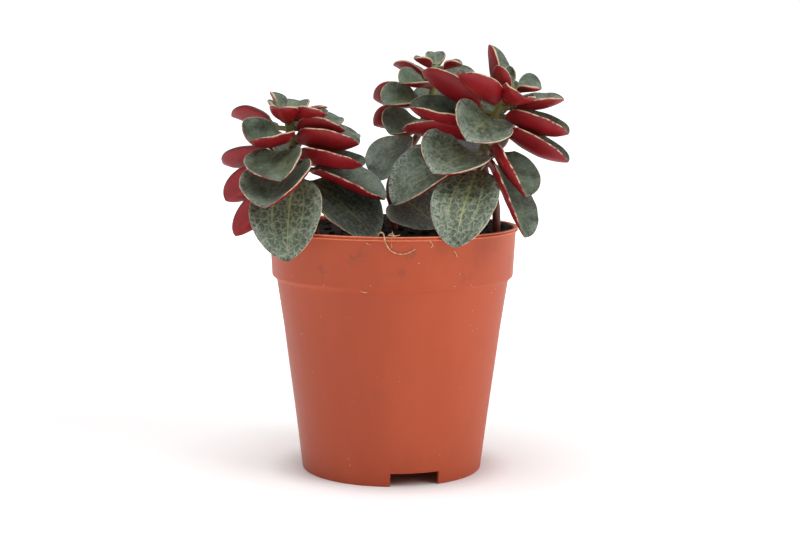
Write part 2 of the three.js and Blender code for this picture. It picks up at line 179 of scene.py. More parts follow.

# One row for each leaf, repeated from the CAD, roughly from the top of its stem down:
# height on the stem, heading (0 is +X, 90 is +Y), rise, roll, blade length, width, fold of each half,
# arch of the midrib, petiole length. Angles are in degrees. A row can end with the leaf's own
# widest place along the blade, its lean, the share by which one half is broader than the other,
# and its looks: young (yellow-green), dark (a painted shade for leaves that lie in shadow), silver, veins
# and rim, each from 0 to 1, and wave, in mm.
LEAVES = {
    "left": [
        (120.2, 143, 60, 12, 7.5, 9, 28, 0.5, 2.6, {"young": 0.3}),
        (119.3, 76, 34, 0, 10, 11.5, 30, 0, 1, {"young": 0.3}),
        (119.3, 324, 8, -7, 13, 12.5, 42, -1, 0.5, {}),
        (118.1, 261, 24, -3, 11, 11.5, 40, -1, 2, {}),
        (116.2, 344, -2, -6, 16.8, 16, 38, -1, 0.3, {}),
        (116, 143, 9, 30, 20.5, 12, 38, 0, 4, {"rim": 0.1}),
        (115.9, 52, 10, 18, 21, 15.5, 22, -1, 2, {}),
        (113.7, 231, -4, -15, 17, 23, 42, -2.5, 0.5, {"young": 0.4}),
        (112.5, 340, -3, -4, 21.8, 22, 40, -2.5, 0.3, {}),
        (111.5, 40, 6, 25, 24, 17, 22, -1, 2, {}),
        (109.8, 267, -21, 16, 23.5, 20.5, 28, 0, 4, {"lean": 0.3, "young": 0.5}),
        (107.7, 150, -10, 20, 22.5, 16, 36, -2, 4, {"rim": 0.1}),
        (106.9, 332, -5, -4, 23.3, 22, 33, -2, 1.5, {}),
        (103.4, 350, -21, 11, 26.5, 22, 30, -0.5, 4, {"rim": 1}),
        (106.5, 117, 14, 0, 17, 19, 30, 0, 2.5, {"painted_shade": 0.7}),
        (104, 256, -25, 6, 26, 27, 30, 0, 4, {"lean": -0.1, "silver": 0.7, "rim": 1}),
        (104.5, 160, -32, 45, 22.5, 14.5, 26, -1, 4, {"rim": 0.1}),
        (105, 54, -10, 0, 17, 20, 16, 0, 2, {"painted_shade": 0.7}),
        (99.4, 340, -38, 24, 29.5, 26.5, 16, 2, 3, {"silver": 0.5, "painted_shade": 1}),
        (98.3, 155, -44, 41, 25, 12, 27, 0, 4, {"rim": 0.1}),
        (100.4, 269, -43, 5, 34.8, 24, 12, 3, 3,
         {"widest": 0.47, "lean": 0.08, "veins": 1, "silver": 0.7, "young": 0.7, "rim": 0.6}),
    ],
    "right": [
        (127.1, 250, 57, -17, 11, 8, 40, -1, 1.5, {}),
        (128.8, 345, 6, 24, 8.5, 13, 40, 0, 0.5, {}),
        (127, 147, 79, 16, 16, 17, 36, -0.5, 2, {}),
        (124.8, 294, 10, -22, 11.5, 14.5, 43, -1, 2, {"wave": 0.5}),
        (123.3, 360, 9, 10, 17.5, 14.5, 37, -1.5, 2, {}),
        (124.3, 231, 27, -11, 21, 17, 45, -1.5, 2, {}),
        (120, 80, 38, 0, 18, 18, 36, -1, 2.5, {"painted_shade": 0.7}),
        (120.7, 339, -14, -1, 22, 21, 41, -2.5, 1.5, {}),
        (121.4, 178, 33, 14, 23.5, 18.5, 39, -2, 3, {}),
        (120, 245, -18, -34, 20.5, 21.5, 22, 1.5, 2, {"silver": 0.8, "young": 0.6, "rim": 1}),
        (117.5, 188, 14, -19, 22, 21.5, 41, -2.5, 4, {"rim": 1}),
        (116, 337, -23, -5, 23, 19.5, 40, -2, 4, {}),
        (114.5, 105, 36, 0, 19, 20, 32, 0, 3, {"painted_shade": 0.7}),
        (113, 181, 7, 0, 22, 20, 38, -1, 4, {"rim": 1}),
        (110, 75, 28, 0, 20, 20, 28, 0, 3, {"painted_shade": 0.7}),
        (110.8, 297, -34, -24, 24.5, 20.5, 44, -1, 4, {"rim": 1}),
        (108.8, 229, -15, -25, 21, 26.5, 27, 1, 4, {"silver": 1, "veins": 0.4, "rim": 1}),
        (105, 95, 18, 0, 23, 23, 24, 0, 3, {"painted_shade": 0.7}),
        (107.4, 191, -31, -24, 28.5, 27.5, 24, 2, 4, {"silver": 0.9, "veins": 0.5}),
        (106.7, 293, -41, -34, 34.5, 20.5, 28, 0.5, 2, {"silver": 0.5}),
        (104.9, 251.5, -42, -4, 33.7, 22, 12, 3, 5.5,
         {"veins": 1, "silver": 0.8, "young": 1, "rim": 0.8}),
    ],
    "back": [
        (132.3, 165, 22, 6, 13, 13, 33, 0, 1, {}),
        (130, 227, 4, -23, 14.5, 15, 35, 0, 0.5, {}),
        (131, 15, 20, 25, 12, 12, 36, -1, 1.5, {}),
        (124.5, 155, 3, 36, 18, 17, 30, -1, 2, {}),
        (125.5, 224, -5, -24, 18.5, 17.5, 30, 0, 2, {"young": 0.4}),
        (121.5, 80, 30, 0, 15, 15, 32, -1, 2, {}),
        (118, 45, 15, 0, 18, 18, 30, 0, 3, {}),
        (117.8, 159, -6, 32, 14, 15.5, 31, 0, 3, {}),
        (118, 235, -13, -20, 18.5, 19, 30, 0, 0.5, {}),
        (115.8, 225, -51, -1, 19.5, 21, 18, 1, 6, {"silver": 0.5}),
        (109, 80, -12, 0, 15, 20, 24, 0, 2, {}),
        (91.5, 311, -24, 29, 21.5, 25.5, 20, 1, 4, {"painted_shade": 1}),
    ],
}

# The tiny leaves at each growing tip, with the same columns.
BUD_LEAVES = {
    "left": [
        (119.8, 205, 48, -30, 7, 4.5, 30, 0, 1, {}),
        (121, 5, 12, 0, 10, 5, 30, 0, 1, {}),
    ],
    "right": [
        (130.5, 100, 80, 0, 6.5, 5, 40, -1, 0.5, {}),
    ],
    "back": [
        (136.5, 205, 26, -6, 7, 9, 32, 0, 0.5, {}),
        (136.5, 345, 10, 4, 6.8, 9, 32, 0, 0.5, {}),
        (137, 95, 40, 0, 7.5, 8, 30, 0, 1, {}),
    ],
}

# Dry roots and fibres caught on the rim: each has a radius and a line of chosen places, which are
# the heading round the pot, the height, and how far off the pot's outside it lies.
FIBRE_RINGS = 40
FIBRE_CORNERS = 8
FIBRE_TAPER = 0.5
FIBRES = {
    "root_curl": (0.24, [
        (-97.5, 81, -3.5), (-96.4, 83.6, -2.4), (-95.1, 84.7, -1.2), (-94, 84.6, -0.6),
        (-93.3, 83.6, 0.3), (-93, 82.3, 0.3), (-92.1, 80.6, 0.2), (-90.4, 79, 0.2),
        (-88, 78.2, 0.2), (-85.2, 78, 0.2), (-82.5, 78.6, 0.3), (-80.2, 79.6, 0.7)]),
    "rim_fibre_long": (0.16, [
        (-92.4, 83.2, -2), (-91.2, 83.9, -0.4), (-89, 83.8, -0.1), (-86.6, 84.1, -0.4)]),
    "rim_fibre_thin": (0.12, [
        (-88.6, 82.6, -2.4), (-89.2, 84, -0.8), (-90.4, 84.5, -0.2), (-91.6, 84, 0.2)]),
    "rim_fibre_spike": (0.13, [(-89.4, 83.6, -0.2), (-89.7, 84.3, -0.5), (-90, 85.2, -0.6)]),
    "collar_fibre_drop": (0.12, [(-90.2, 83.3, 0.2), (-90.3, 81.8, 0.2), (-90.1, 80, 0.15)]),
    "collar_fibre_hook": (0.15, [
        (-73.8, 82, 0.3), (-72.6, 81.3, 0.2), (-72.4, 80.5, 0.2), (-73.2, 79.9, 0.2)]),
    "collar_fibre_bit": (0.2, [(-62.3, 78.8, 0.15), (-61, 77.6, 0.2), (-60.3, 76.6, 0.2)]),
    "collar_fibre_short": (0.14, [(-101.2, 81.4, 0.2), (-100.2, 81.1, 0.2), (-99.1, 80.9, 0.2)]),
    "step_fibre_left": (0.14, [(-105.2, 66.3, 0.15), (-103, 65.6, 0.9), (-101.2, 65.5, 1)]),
    "soil_stick": (0.55, [(-137.6, 78.6, -8), (-137.4, 81.5, -9), (-137, 84.5, -10)]),
    "soil_twig": (0.3, [(-73.5, 80.3, -7), (-71.5, 80.8, -7.5), (-68.5, 80.6, -8)]),
}

# Colours as 8-bit sRGB values
DARK_GREEN = (42, 57, 37)
GREY_GREEN = (88, 106, 84)
SILVER = (172, 182, 172)
YELLOW_GREEN = (112, 122, 48)
RIB_GREEN = (158, 164, 116)
NET_GREEN = (156, 164, 132)
# The painted shade of leaves that lie in shadow
PAINTED_SHADE_GREEN = (18, 24, 16)
CREAM = (214, 190, 156)
CRIMSON = (150, 18, 28)
DEEP_CRIMSON = (104, 8, 14)
UNDER_BLOOM = (190, 84, 84)
UNDER_RIB = (176, 84, 60)
PURPLE_EDGE = (66, 44, 54)
TERRACOTTA = (176, 69, 30)
TERRACOTTA_PALE = (186, 80, 43)
# The painted highlight on the lip's edges
LIP_HIGHLIGHT = (236, 138, 96)
STAIN = (118, 62, 44)
DUST = (222, 190, 160)
PEAT = (18, 13, 10)
PEAT_BROWN = (44, 31, 22)
PEAT_BITS = (120, 92, 64)
STEM_RED = (96, 38, 32)
STEM_GREEN = (118, 118, 56)
STEM_CORK = (170, 130, 90)
FIBRE = (222, 190, 150)
FIBRE_BROWN = (150, 108, 72)
FLOOR_WHITE = (245, 245, 245)

# The floor, and its own glow by distance from the pot's middle, in metres. The glow falls to nothing at
# the pot's foot, a painted contact shadow round it.
FLOOR_REACH = 40
GLOW_NEAR = 0.24
GLOW_NEAR_START = 0.028
GLOW_NEAR_END = 0.045
GLOW_FAR = 1.1
GLOW_FAR_START = 0.05
GLOW_FAR_END = 0.6

# The surround's brightness: as seen, and as light from behind the plant and from before it
SURROUND_SEEN = 1.1
SURROUND_BEHIND = 0.55
SURROUND_BEFORE = 0.14
# The Y share of a direction, where the one changes to the other
SURROUND_TURN_START = -0.4
SURROUND_TURN_END = 0.7

# Square soft lights: place and width in metres, and power. All are aimed at one place.
LIGHTS = {
    "key": ((0.8, -0.45, 0.65), 0.6, 5.2),
    "top": ((-0.1, -0.15, 0.9), 0.7, 5.4),
    "left": ((-0.6, -0.6, 0.5), 0.5, 0.35),
}
LIGHTS_AIM = (0, 0, 0.09)


def srgb(colour):
    """An 8-bit sRGB colour as the linear colour with alpha that a shader socket takes."""
    def linear(value):
        share = value / 255
        return share / 12.92 if share <= 0.04045 else ((share + 0.055) / 1.055) ** 2.4
    return (*[linear(value) for value in colour], 1)


# Shader nodes

class Shader:
    """A material's node tree with short calls for the nodes that the surfaces here use."""

    def __init__(self, name):
        self.material = bpy.data.materials.new(name)
        self.material.use_nodes = True
        self.tree = self.material.node_tree
        self.surface = self.tree.nodes["Principled BSDF"]

    def feed(self, socket, value):
        """Links another node's output to the socket, or sets the socket to a plain value."""
        if isinstance(value, bpy.types.NodeSocket):
            self.tree.links.new(value, socket)
        elif value is not None:
            socket.default_value = value

    def node(self, kind, **inputs):
        """A new node with its inputs fed by name, in which underscores stand for spaces."""
        node = self.tree.nodes.new(kind)
        for name, value in inputs.items():
            self.feed(node.inputs[name.replace("_", " ")], value)
        return node

    def attribute(self, name, output="Fac"):
        node = self.node("ShaderNodeAttribute")
        node.attribute_name = name
        return node.outputs[output]

    def place(self):
        """The place in the piece's own space, in metres."""
        return self.node("ShaderNodeTexCoord").outputs["Object"]

    def place_mm(self, upward=1):
        """The place in millimetres. A share for the height stretches a pattern upwards."""
        return self.scaled(self.place(), (PER_METRE, PER_METRE, upward * PER_METRE))

    def vector_math(self, operation, first, second=None, output="Vector"):
        node = self.node("ShaderNodeVectorMath")
        node.operation = operation
        self.feed(node.inputs[0], first)
        self.feed(node.inputs[1], second)
        return node.outputs[output]

    def scaled(self, vector, factors):
        return self.vector_math("MULTIPLY", vector, factors)

    def moved(self, vector, offset):
        return self.vector_math("ADD", vector, offset)

    def length(self, vector):
        return self.vector_math("LENGTH", vector, output="Value")

    def noise(self, vector, scale, detail=2.0, roughness=0.5, output="Fac"):
        node = self.node(
            "ShaderNodeTexNoise", Vector=vector, Scale=scale, Detail=detail, Roughness=roughness)
        return node.outputs[output]

    def cells(self, vector, scale=1.0, feature="F1"):
        node = self.node("ShaderNodeTexVoronoi", Vector=vector, Scale=scale)
        node.feature = feature
        return node.outputs["Distance"]

    def math(self, operation, first, second=None, clamp=False):
        node = self.node("ShaderNodeMath")
        node.operation = operation
        node.use_clamp = clamp
        self.feed(node.inputs[0], first)
        self.feed(node.inputs[1], second)
        return node.outputs[0]

    def fade(self, value, start, end, low=0.0, high=1.0):
        """low where the value is at start, high where it is at end, with a smooth step between."""
        node = self.node(
            "ShaderNodeMapRange", Value=value, From_Min=start, From_Max=end, To_Min=low, To_Max=high)
        node.interpolation_type = "SMOOTHSTEP"
        return node.outputs["Result"]

    def ragged(self, distance, vector, scale, amount):
        """The distance with a wander of about half the amount either way, for a broken edge."""
        wander = self.math("SUBTRACT", self.noise(vector, scale, 2), 0.5)
        return self.math("ADD", distance, self.times(wander, amount))

    def times(self, *values):
        product = values[0]
        for value in values[1:]:
            product = self.math("MULTIPLY", product, value)
        return product

    def mix(self, share, first, second):
        node = self.node("ShaderNodeMix", Factor=share)
        node.data_type = "RGBA"
        for socket, colour in ((node.inputs[6], first), (node.inputs[7], second)):
            self.feed(socket, srgb(colour) if isinstance(colour, tuple) else colour)
        return node.outputs[2]

    def bump(self, height, distance, strength=1.0, under=None):
        return self.node("ShaderNodeBump", Height=height, Distance=distance, Strength=strength,
                         Normal=under).outputs[0]

    def finish(self, **sockets):
        """Feeds the surface's sockets, named with underscores for spaces, and gives the material."""
        for name, value in sockets.items():
            socket = self.surface.inputs[name.replace("_", " ")]
            self.feed(socket, srgb(value) if "Color" in name and isinstance(value, tuple) else value)
        return self.material


# Materials

# Distances are in millimetres and the scales of patterns per millimetre, the floor's excepted. Leaf
# patterns are laid out in the leaf's own plane, so that they follow its fold.

def leaf_upper():
    s = Shader("leaf_upper")
    place = s.attribute("leaf_place", "Vector")
    edge = s.attribute("edge")
    along = s.attribute("along")
    silver = s.attribute("silver")
    veins = s.attribute("veins")
    side = s.math("ABSOLUTE", s.attribute("side_mm"))
    cloud = s.noise(place, 0.22, 3)
    blotch = s.noise(place, 0.8, 3, 0.6)
    grain = s.noise(place, 3.0, 3, 0.7)
    speck = s.noise(place, 6.5, 2, 0.8)
    colour = s.mix(s.fade(cloud, 0.3, 0.7), DARK_GREEN, GREY_GREEN)
    # Painted shade: a leaf that lies in shadow is painted near-black, all but a thin strip along its
    # margin
    colour = s.mix(s.times(s.attribute("painted_shade"), s.fade(edge, 0.4, 2.5), 0.85), colour, PAINTED_SHADE_GREEN)
    # Yellow-green at the foot and along the midrib, strongest on young leaves
    young = s.math("ADD", s.times(s.attribute("young"), 0.8), 0.2)
    beside_rib = s.times(s.fade(side, 4.5, 0.0), s.fade(along, 1, 0.3))
    near_rib = s.math("MAXIMUM", s.fade(along, 0.4, 0.0), beside_rib)
    colour = s.mix(s.times(young, near_rib, s.fade(blotch, 0.3, 0.65), 0.9), colour, YELLOW_GREEN)
    # A silvery bloom in soft patches, partly the leaf's own silver and partly a painted sheen, and its
    # fine grains
    bloom_and_sheen = s.times(s.fade(blotch, 0.4, 0.7), s.math("ADD", s.times(silver, 0.24), 0.08))
    colour = s.mix(bloom_and_sheen, colour, SILVER)
    sparkle = s.times(s.fade(grain, 0.5, 0.72), s.fade(speck, 0.42, 0.68), 0.42)
    colour = s.mix(sparkle, colour, SILVER)
    # The broken net of small veins, and the silver net that the leaf has near its margin
    bent = s.moved(place, s.scaled(s.noise(place, 0.55, 2, output="Color"), (2.2, 2.2, 0)))
    net = s.cells(s.scaled(bent, (0.38, 0.52, 1)), feature="DISTANCE_TO_EDGE")
    small_net = s.cells(s.scaled(bent, (0.8, 1.1, 1)), feature="DISTANCE_TO_EDGE")
    fine_net = s.cells(bent, 1.05, "DISTANCE_TO_EDGE")
    net_line = s.times(s.fade(net, 0.085, 0.015), s.fade(blotch, 0.35, 0.55, 0.45, 1))
    colour = s.mix(s.times(s.fade(net, 0.05, 0.3), veins, 0.6), colour, DARK_GREEN)
    colour = s.mix(s.times(s.fade(small_net, 0.08, 0.02), veins, 0.28), colour, NET_GREEN)
    colour = s.mix(s.times(net_line, veins, 0.62), colour, NET_GREEN)
    near_edge = s.times(s.fade(edge, 3.6, 0.6), s.fade(cloud, 0.3, 0.5))
    colour = s.mix(s.times(s.fade(fine_net, 0.13, 0.03), near_edge, silver, 0.7), colour, SILVER)
    # The midrib and one nerve on each side of it
    rib_width = s.fade(along, 0.0, 1.0, 0.6, 0.15)
    rib = s.fade(s.math("DIVIDE", side, rib_width), 1.3, 0.5)
    nerve = s.fade(s.math("ABSOLUTE", s.attribute("nerve_mm")), 0.5, 0.1)
    rib_share = s.math("ADD", s.times(veins, 0.62), 0.16)
    colour = s.mix(s.times(rib, rib_share, s.fade(along, 1.0, 0.75)), colour, RIB_GREEN)
    colour = s.mix(s.times(nerve, veins, 0.6, s.fade(along, 0.9, 0.5)), colour, RIB_GREEN)
    # The thin pale margin, a little broken up
    rim = s.attribute("rim")
    line = s.fade(s.ragged(edge, place, 1.9, 0.16), 0.15, 0.05)
    colour = s.mix(s.times(line, s.math("ADD", s.times(rim, 0.6), 0.3)), colour, CREAM)
    quilt = s.bump(s.math("MULTIPLY", s.fade(net, 0.0, 0.3), veins), 0.25 * MM, 0.7)
    pebble = s.bump(s.math("ADD", grain, s.times(speck, 0.6)), 0.12 * MM, 0.7, quilt)
    return s.finish(
        Base_Color=colour, Roughness=s.fade(grain, 0.3, 0.7, 0.34, 0.5), Normal=pebble,
        Specular_IOR_Level=0.55, Subsurface_Weight=0.1, Subsurface_Radius=(0.6, 0.9, 0.3),
        Subsurface_Scale=0.9 * MM)


def leaf_under():
    s = Shader("leaf_under")
    place = s.attribute("leaf_place", "Vector")
    edge = s.attribute("edge")
    along = s.attribute("along")
    rim = s.attribute("rim")
    cloud = s.noise(place, 0.25, 3)
    grain = s.noise(place, 3.0, 3, 0.7)
    colour = s.mix(s.fade(cloud, 0.25, 0.8, 0.0, 0.55), CRIMSON, DEEP_CRIMSON)
    colour = s.mix(s.times(s.fade(grain, 0.55, 0.75), 0.3), colour, UNDER_BLOOM)
    side = s.math("ABSOLUTE", s.attribute("side_mm"))
    rib = s.times(s.fade(side, 0.9, 0.2), s.fade(along, 1.0, 0.6))
    colour = s.mix(s.times(rib, 0.35), colour, UNDER_RIB)
    # The foot of the blade and the petiole turn green
    colour = s.mix(s.times(s.fade(along, 0.1, -0.02), 0.8), colour, STEM_GREEN)
    # The margin is pale where the leaf has a rim, and dull purple where it has none
    margin = s.ragged(edge, place, 1.6, 0.1)
    rimless = s.math("SUBTRACT", 1.0, rim)
    colour = s.mix(s.times(s.fade(margin, 0.5, 0.15), rimless, 0.9), colour, PURPLE_EDGE)
    colour = s.mix(s.times(s.fade(margin, 0.09, 0.03), rim), colour, CREAM)
    pebble = s.bump(grain, 0.1 * MM, 0.55)
    return s.finish(
        Base_Color=colour, Roughness=s.fade(grain, 0.3, 0.7, 0.38, 0.5), Normal=pebble,
        Specular_IOR_Level=0.35, Subsurface_Weight=0.15, Subsurface_Radius=(1.0, 0.25, 0.2),
        Subsurface_Scale=1.0 * MM)


def stem_skin():
    s = Shader("stem_skin")
    place = s.place_mm(0.35)
    streak = s.noise(place, 1.2, 3, 0.6)
    rise = s.attribute("rise")
    streaks = s.times(s.math("SUBTRACT", streak, 0.5), 0.9)
    greener = s.math("ADD", s.fade(rise, 0.35, 1.0), streaks, clamp=True)
    colour = s.mix(greener, STEM_RED, STEM_GREEN)
    colour = s.mix(s.fade(s.noise(place, 4.0, 2), 0.6, 0.75, 0.0, 0.5), colour, STEM_CORK)
    ridges = s.bump(streak, 0.2 * MM, 0.5)
    return s.finish(Base_Color=colour, Roughness=s.fade(streak, 0.3, 0.7, 0.4, 0.6), Normal=ridges)


def pot_plastic():
    s = Shader("pot_plastic")
    place = s.place_mm()
    height = s.attribute("height_mm")
    cloud = s.noise(s.scaled(place, (1, 1, 0.25)), 0.045, 3)
    grain = s.noise(place, 1.6, 3, 0.65)
    colour = s.mix(s.fade(cloud, 0.3, 0.75), TERRACOTTA, TERRACOTTA_PALE)
    # The lip's two moulded edges are painted paler: a painted highlight where they catch the light
    lip_centre = (LIP_FOOT + POT_HEIGHT) / 2
    from_centre = s.math("ABSOLUTE", s.math("SUBTRACT", height, lip_centre))
    lip_highlight = s.times(s.fade(from_centre, 0.2, 0.5), s.fade(from_centre, 0.75, 0.66))
    colour = s.mix(s.times(lip_highlight, s.fade(grain, 0.3, 0.6, 0.35, 0.8)), colour, LIP_HIGHLIGHT)
    # Brown soil stains, mostly on the collar
    stain = s.times(s.fade(s.noise(place, 0.12, 4, 0.65), 0.56, 0.74), s.fade(height, 55, 78, 0.12, 0.5))
    colour = s.mix(stain, colour, STAIN)
    # The inside of the wall is dark brown, up to near the lip
    from_axis = s.length(s.scaled(place, (1, 1, 0)))
    inside = s.times(s.fade(from_axis, 41.2, 40.9), s.fade(height, 70, 73), s.fade(height, 83.3, 81.8))
    colour = s.mix(s.times(inside, s.fade(grain, 0.25, 0.5, 0.75, 1)), colour, PEAT_BROWN)
    # A few pale dust specks, and faint scuffs
    specks = s.cells(place, 0.5)
    chosen = s.fade(s.noise(place, 0.17, 1), 0.6, 0.66)
    colour = s.mix(s.times(s.fade(specks, 0.16, 0.06), chosen, 0.5), colour, DUST)
    scuff = s.noise(s.scaled(place, (1, 1, 5)), 0.3, 4, 0.75)
    colour = s.mix(s.fade(scuff, 0.66, 0.78, 0.0, 0.25), colour, DUST)
    dimple = s.bump(grain, 0.05 * MM, 0.5)
    wobble = s.bump(s.noise(place, 0.08, 2), 0.5 * MM, 0.35, dimple)
    return s.finish(
        Base_Color=colour, Roughness=s.fade(cloud, 0.3, 0.7, 0.4, 0.55), Normal=wobble,
        Specular_IOR_Level=0.4, Subsurface_Weight=0.08, Subsurface_Radius=(1.0, 0.4, 0.2),
        Subsurface_Scale=1.5 * MM)


def peat_soil():
    s = Shader("peat_soil")
    place = s.place_mm()
    lumps = s.noise(place, 0.5, 5, 0.7)
    bits = s.cells(place, 1.1)
    colour = s.mix(s.fade(lumps, 0.45, 0.75), PEAT, PEAT_BROWN)
    colour = s.mix(s.fade(s.noise(place, 1.3, 2), 0.68, 0.76, 0.0, 0.45), colour, PEAT_BITS)
    rough = s.bump(s.math("SUBTRACT", lumps, s.times(bits, 0.4)), 0.9 * MM, 0.9)
    return s.finish(Base_Color=colour, Roughness=s.fade(lumps, 0.3, 0.7, 0.8, 1.0), Normal=rough,
                    Specular_IOR_Level=0.25)


def dry_fibre():
    s = Shader("dry_fibre")
    place = s.place_mm()
    tone = s.noise(place, 1.0, 3)
    colour = s.mix(s.fade(tone, 0.35, 0.7), FIBRE, FIBRE_BROWN)
    return s.finish(Base_Color=colour, Roughness=s.fade(tone, 0.3, 0.7, 0.6, 0.8),
                    Normal=s.bump(tone, 0.1 * MM, 0.5))


def white_floor():
    """Matt white where the lights reach it, and glowing as white as the surround further out. Its glow
    falls to nothing at the pot's foot, which paints a contact shadow round it. Its distances are in
    metres."""
    s = Shader("white_floor")
    distance = s.length(s.place())
    # The glow falls to nothing at the pot's foot: a painted contact shadow
    near = s.fade(distance, GLOW_NEAR_START, GLOW_NEAR_END, 0, GLOW_NEAR)
    glow = s.math("MAXIMUM", near, s.fade(distance, GLOW_FAR_START, GLOW_FAR_END, 0, GLOW_FAR))
    return s.finish(Base_Color=FLOOR_WHITE, Roughness=0.9, Specular_IOR_Level=0.1,
                    Emission_Color=FLOOR_WHITE, Emission_Strength=glow)


# Mesh helpers

def new_object(name, data):
    made = bpy.data.objects.new(name, data)
    bpy.context.scene.collection.objects.link(made)
    return made


def add_piece(name, vertices, faces, materials, replaced=None, face_materials=None, numbers=None):
    """A smooth mesh piece from points in millimetres, which rides on the one body."""
    mesh = bpy.data.meshes.new(name)
    mesh.from_pydata([tuple(point) for point in np.asarray(vertices) * MM], [], faces)
    for material in materials:
        mesh.materials.append(material)
    if face_materials is not None:
        mesh.polygons.foreach_set("material_index", face_materials)
    for key, values in (numbers or {}).items():
        values = np.asarray(values, dtype=np.float32)
        kind = "FLOAT_VECTOR" if values.ndim == 2 else "FLOAT"
        attribute = mesh.attributes.new(key, kind, "POINT")
        attribute.data.foreach_set("vector" if values.ndim == 2 else "value", values.ravel())
    mesh.shade_smooth()
    mesh.update()
    piece = new_object(name, mesh)
    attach(piece, "root")
    if replaced:
        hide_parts(replaced)
    return piece


def ring_faces(rings, corners):
    """The quads between rings of corners, wound so that a ring's corners turn left along the rings."""
    faces = []
    for ring in range(rings - 1):
        for corner in range(corners):
            following = (corner + 1) % corners
            low, high = ring * corners, (ring + 1) * corners
            faces.append((low + corner, low + following, high + following, high + corner))
    return faces


def capped_faces(rings, corners):
    """ring_faces, with a fan to one point before the first ring and one after the last."""
    faces = ring_faces(rings, corners)
    first, last = rings * corners, rings * corners + 1
    top = (rings - 1) * corners
    for corner in range(corners):
        following = (corner + 1) % corners
        faces.append((first, following, corner))
        faces.append((last, top + corner, top + following))
    return faces


def smooth_line(points, steps):
    """Points along the same curve as the CAD's: a uniform Catmull-Rom spline with reflected ends."""
    points = np.asarray(points, float)
    padded = np.vstack([2 * points[0] - points[1], points, 2 * points[-1] - points[-2]])
    made = []
    for share in np.linspace(0, len(points) - 1, steps):
        index = min(int(share), len(points) - 2)
        t = share - index
        before, start, end, after = padded[index:index + 4]
        slope_start, slope_end = (end - before) / 2, (after - start) / 2
        made.append(start + slope_start * t
                    + (3 * (end - start) - 2 * slope_start - slope_end) * t ** 2
                    + (2 * (start - end) + slope_start + slope_end) * t ** 3)
    return np.array(made)


def tube(line, radii, corners):
    """The points of a tube round a line, whose frame is carried along without twisting, and a point
    just past each end."""
    line = np.asarray(line, float)
    tangents = np.gradient(line, axis=0)
    tangents /= np.linalg.norm(tangents, axis=1)[:, None]
    askew = (0.3, 1, 0.2)
    side = np.cross(tangents[0], askew)
    angles = np.linspace(0, 2 * math.pi, corners, endpoint=False)
    rings = []
    for centre, tangent, radius in zip(line, tangents, radii):
        side = side - tangent * side.dot(tangent)
        side = side / np.linalg.norm(side)
        other = np.cross(tangent, side)
        rings.append(centre + radius * (np.outer(np.cos(angles), side) + np.outer(np.sin(angles), other)))
    first = line[0] - tangents[0] * radii[0] / 2
    last = line[-1] + tangents[-1] * radii[-1] / 2
    return np.vstack([*rings, first, last])


def revolve(profile, segments):
    """The points of a surface of revolution, with a ring for each (radius, height) pair."""
    angles = np.linspace(0, 2 * math.pi, segments, endpoint=False)
    round_x, round_y = np.cos(angles), np.sin(angles)
    return np.vstack([np.stack([r * round_x, r * round_y, np.full(segments, z)], 1) for r, z in profile])


# Stems

def stem_point(side, height):
    """The point of a stem's middle line at a height."""
    line = smooth_line(STEM_LINES[side], STEM_SAMPLES)
    return np.array([np.interp(height, line[:, 2], line[:, k]) for k in range(3)])


def build_stem(side, material):
    line = smooth_line(STEM_LINES[side], STEM_RINGS)
    knots = sum(np.exp(-((line[:, 2] - row[0]) / KNOT_LENGTH) ** 2) for row in LEAVES[side])
    taper = STEM_TAPER * np.linspace(0, 1, STEM_RINGS)
    radii = STEM_RADIUS * (1 + KNOT_SWELLING * np.minimum(knots, 1) - taper)
    points = tube(line, radii, STEM_CORNERS)
    rise = (line[:, 2] - SOIL_HEIGHT) / (line[-1, 2] - SOIL_HEIGHT)
    numbers = {"rise": np.append(np.repeat(rise, STEM_CORNERS), (0, 1))}
    add_piece(f"{side}_stem_skin", points, capped_faces(STEM_RINGS, STEM_CORNERS), [material],
              f"{side}_stem", numbers=numbers)


# Leaves

def unit(vector):
    return vector / np.linalg.norm(vector)


def level_direction(turn):
    return np.array([math.cos(turn), math.sin(turn), 0])


def leaf_frame(heading, rise, roll):
    """A leaf's own directions: along it, out of its upper face, and across it."""
    h, r, turn = math.radians(heading), math.radians(rise), math.radians(roll)
    outward, upright = level_direction(h), np.array([0, 0, 1])
    along = math.cos(r) * outward + math.sin(r) * upright
    level = math.cos(r) * upright - math.sin(r) * outward
    up = level * math.cos(turn) + np.cross(along, level) * math.sin(turn)
    return along, up, np.cross(along, up)


def outline(t, widest):
    """The share of the full half width at a place along the blade, from 0 at its foot to 1 at its tip."""
    a = 2 * OUTLINE_FULLNESS * widest
    b = 2 * OUTLINE_FULLNESS * (1 - widest)
    return (t / widest) ** a * ((1 - t) / (1 - widest)) ** b


def ripple(x, y, seed, wavelength):
    """A smooth wandering surface over the leaf's plane, between about -1 and 1."""
    draw = random.Random(seed)
    total = np.zeros_like(x)
    for _ in range(5):
        turn, phase = draw.uniform(0, math.pi), draw.uniform(0, 2 * math.pi)
        pace = 2 * math.pi / (wavelength * draw.uniform(0.7, 1.5))
        total += np.sin(pace * (x * math.cos(turn) + y * math.sin(turn)) + phase)
    return total / 3


